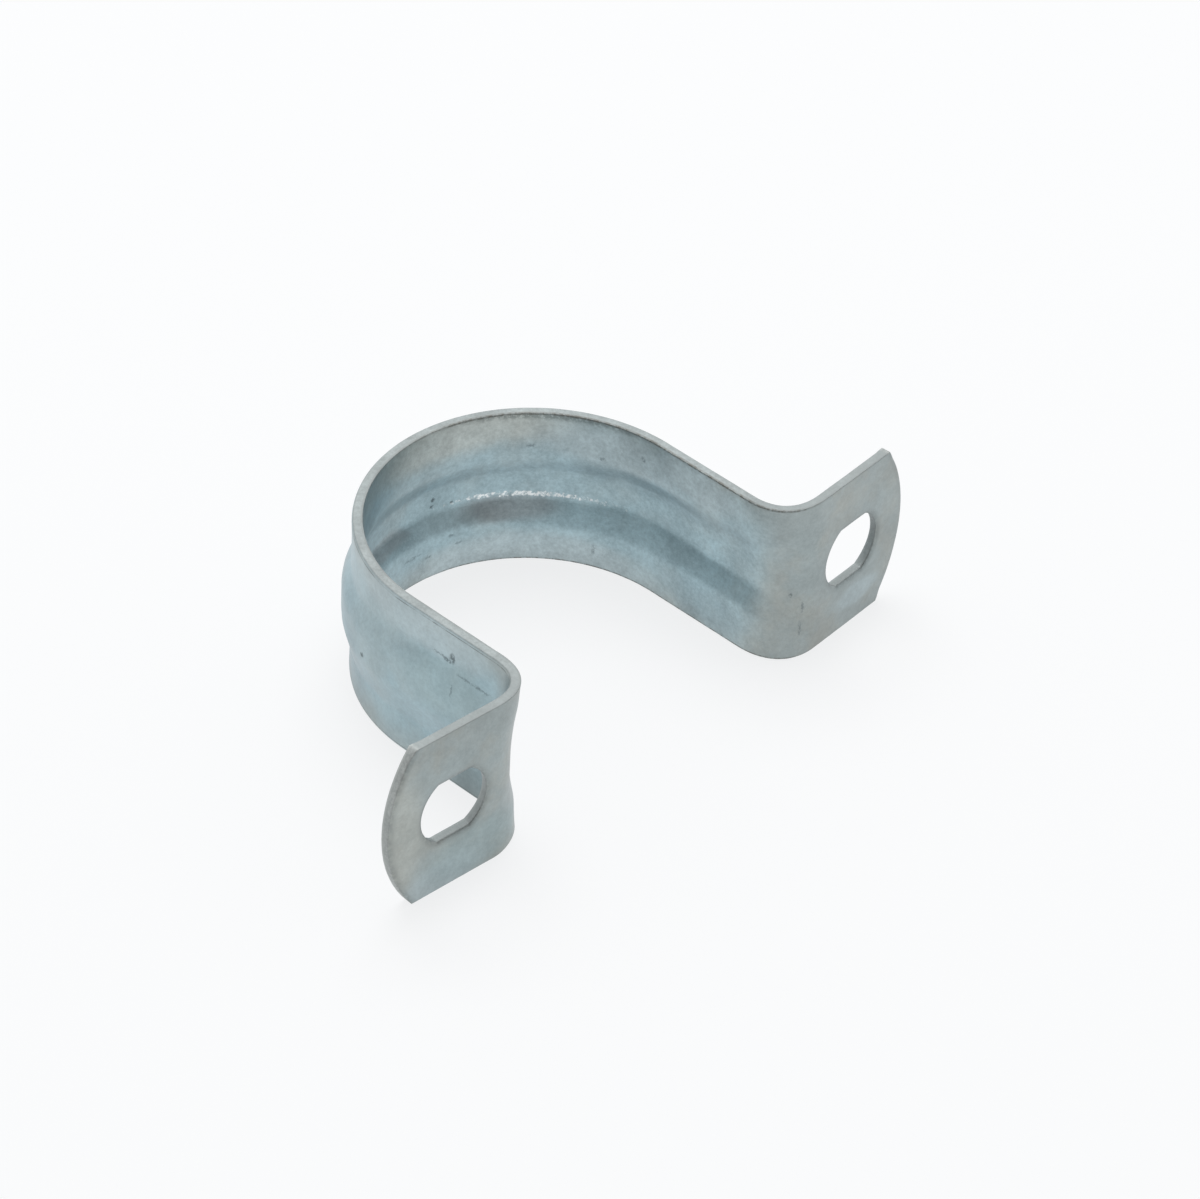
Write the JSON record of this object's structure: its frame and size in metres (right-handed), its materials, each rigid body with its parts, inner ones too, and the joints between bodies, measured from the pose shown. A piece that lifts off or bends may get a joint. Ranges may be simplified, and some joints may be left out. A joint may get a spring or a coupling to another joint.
{
  "type": "conduit strap",
  "caption": "Ribbed sheet-metal saddle strap that arches over a round conduit, with pierced ears that screw to a wall.",
  "frame": {"origin": "on the conduit's axis, half way along the strap's width", "axes": "+Z along the conduit, +X from one ear to the other, -Y towards the wall the ears are screwed to, so the crown of the arch is at +Y"},
  "size_m": [0.0628, 0.0317, 0.0166],
  "materials": {
    "zinc_plate": "satin blue-clear zinc plate on sheet steel"
  },
  "bodies": {
    "root": {"strap": "zinc_plate"}
  },
  "joints": []
}
